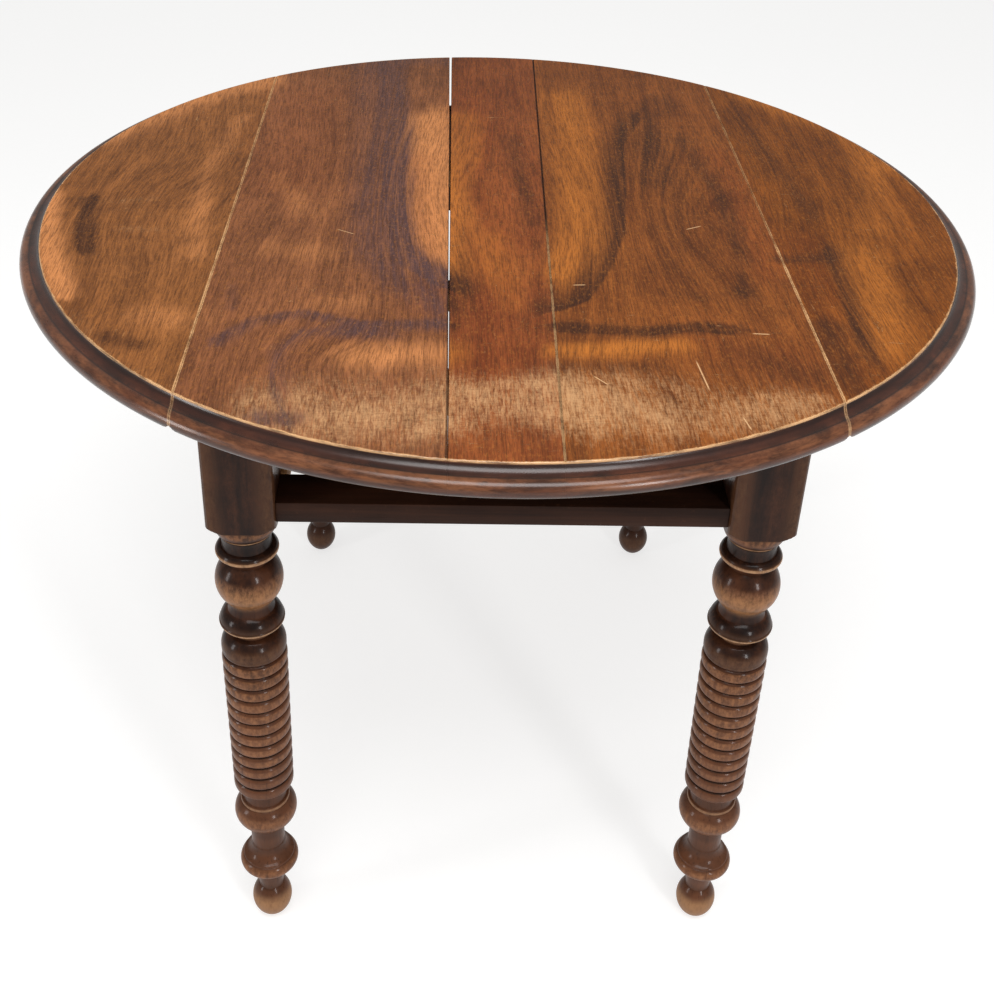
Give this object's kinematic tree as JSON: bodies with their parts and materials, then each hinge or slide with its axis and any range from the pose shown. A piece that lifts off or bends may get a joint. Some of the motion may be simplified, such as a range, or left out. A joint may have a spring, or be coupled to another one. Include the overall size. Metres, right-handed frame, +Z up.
{
  "type": "drop-leaf dining table",
  "caption": "Round walnut dining table with a moulded edge, hinged drop leaves on sliding bearers, an open drawer rail and ring-turned legs with ball feet",
  "frame": {"origin": "on the floor under the middle of the round top", "axes": "+Z up; +X across the two hinge seams, to the right seen from the open drawer end; -Y towards that end"},
  "size_m": [0.9999, 1, 0.74],
  "materials": {
    "top_walnut": "old polished walnut, worn pale along the edges and scratched",
    "frame_walnut": "dark polished walnut, rubbed lighter on the turned rings",
    "inner_wood": "plain unpolished secondary wood",
    "hinge_metal": "dark dull iron"
  },
  "bodies": {
    "frame": {"apron_back": "frame_walnut", "apron_left": "frame_walnut", "apron_right": "frame_walnut", "centre_bearer": "inner_wood", "drawer_rail_lower": "frame_walnut", "drawer_rail_upper": "inner_wood", "drawer_runner_left": "inner_wood", "drawer_runner_right": "inner_wood", "hinge_left_back_fixed": "hinge_metal", "hinge_left_back_pin": "hinge_metal", "hinge_left_front_fixed": "hinge_metal", "hinge_left_front_pin": "hinge_metal", "hinge_right_back_fixed": "hinge_metal", "hinge_right_back_pin": "hinge_metal", "hinge_right_front_fixed": "hinge_metal", "hinge_right_front_pin": "hinge_metal", "leg_back_left": "frame_walnut", "leg_back_right": "frame_walnut", "leg_front_left": "frame_walnut", "leg_front_right": "frame_walnut", "loper_guide_left": "inner_wood", "loper_guide_right": "inner_wood", "top_board_left": "top_walnut", "top_board_middle": "top_walnut", "top_board_right": "top_walnut"},
    "leaf_left": {"leaf_left": "top_walnut", "hinge_left_front_leaf": "hinge_metal", "hinge_left_back_leaf": "hinge_metal"},
    "leaf_right": {"leaf_right": "top_walnut", "hinge_right_front_leaf": "hinge_metal", "hinge_right_back_leaf": "hinge_metal"},
    "loper_front_left": {"loper_front_left": "inner_wood", "loper_stop_front_left": "inner_wood"},
    "loper_front_right": {"loper_front_right": "inner_wood", "loper_stop_front_right": "inner_wood"},
    "loper_back_left": {"loper_back_left": "inner_wood", "loper_stop_back_left": "inner_wood"},
    "loper_back_right": {"loper_back_right": "inner_wood", "loper_stop_back_right": "inner_wood"}
  },
  "joints": [
    {"name": "leaf_left_hinge", "type": "hinge", "parent": "frame", "child": "leaf_left", "pos_m": [-0.284, 0, 0.718], "axis": [0, 1, 0], "range_deg": [-90, 0]},
    {"name": "leaf_right_hinge", "type": "hinge", "parent": "frame", "child": "leaf_right", "pos_m": [0.284, 0, 0.718], "axis": [0, -1, 0], "range_deg": [-90, 0]},
    {"name": "loper_front_left_slide", "type": "slide", "parent": "frame", "child": "loper_front_left", "axis": [-1, 0, 0], "range_m": [0, 0.1556]},
    {"name": "loper_front_right_slide", "type": "slide", "parent": "frame", "child": "loper_front_right", "axis": [1, 0, 0], "range_m": [0, 0.1556]},
    {"name": "loper_back_left_slide", "type": "slide", "parent": "frame", "child": "loper_back_left", "axis": [-1, 0, 0], "range_m": [0, 0.1556]},
    {"name": "loper_back_right_slide", "type": "slide", "parent": "frame", "child": "loper_back_right", "axis": [1, 0, 0], "range_m": [0, 0.1556]}
  ]
}
